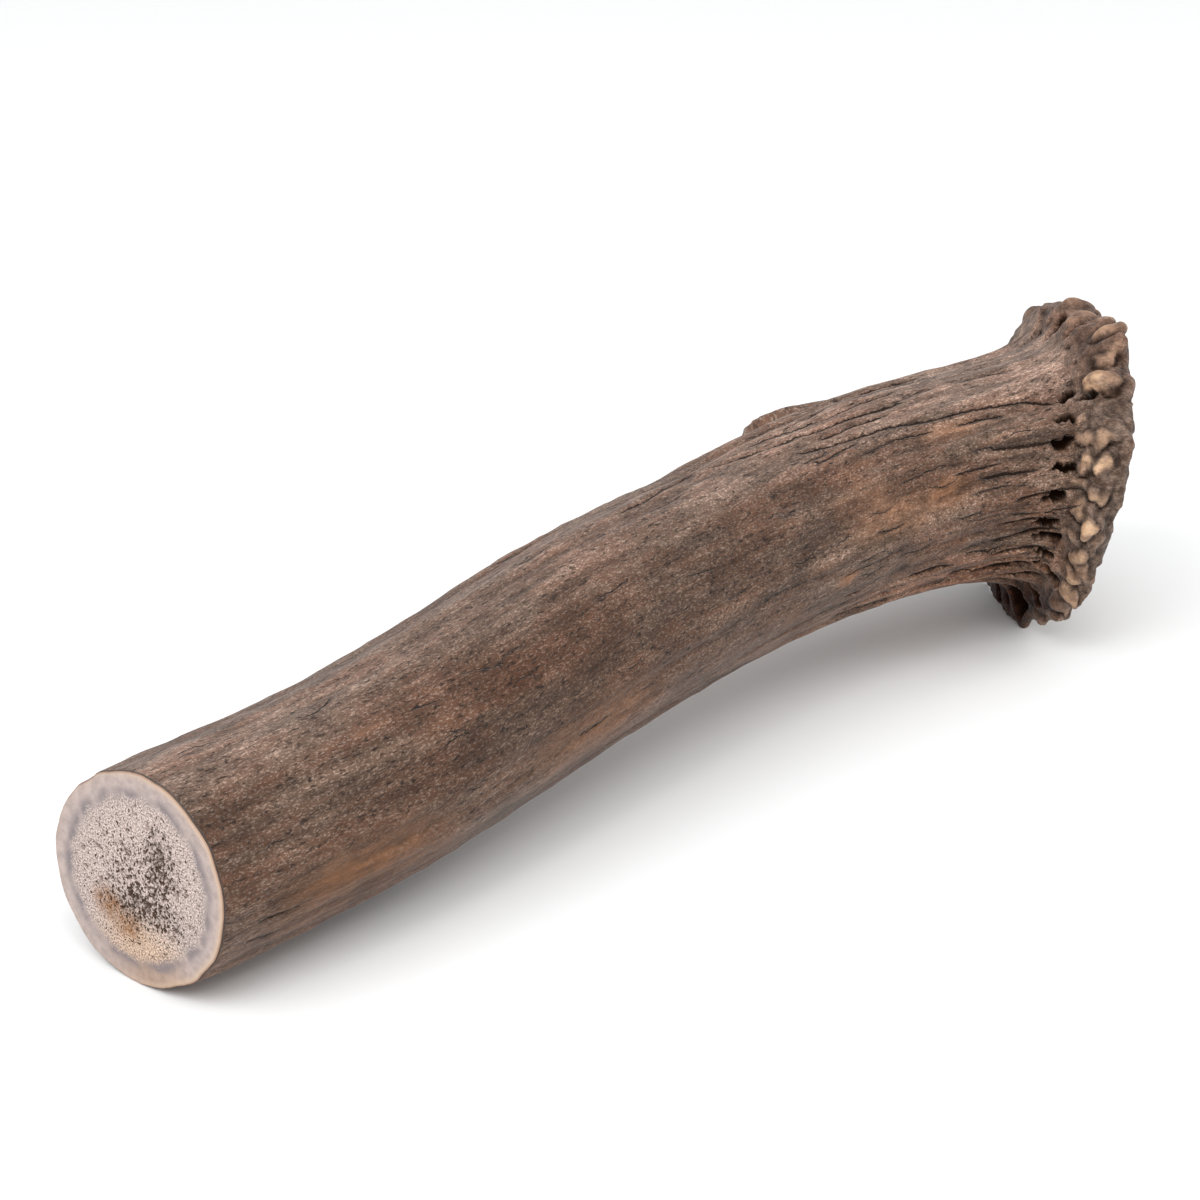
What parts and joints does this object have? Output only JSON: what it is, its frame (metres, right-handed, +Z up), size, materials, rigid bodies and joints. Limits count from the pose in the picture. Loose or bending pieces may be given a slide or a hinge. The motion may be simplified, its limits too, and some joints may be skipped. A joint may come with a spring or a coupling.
{
  "type": "deer antler",
  "caption": "Lower end of a shed deer antler: a gently bent beam sawn off square, with a knobbed burr, a rough base and the sawn stub of a brow tine.",
  "frame": {"origin": "centre of the bounding box in plan, on the surface that the antler lies on", "axes": "+X from the sawn end to the burr, +Z up, and the bend and the sawn brow tine on the +Y side"},
  "size_m": [0.231, 0.0612, 0.0625],
  "materials": {
    "antler": "weathered grey-brown antler, matte, ivory and spongy on the sawn face"
  },
  "bodies": {
    "root": {"antler": "antler"}
  },
  "joints": []
}
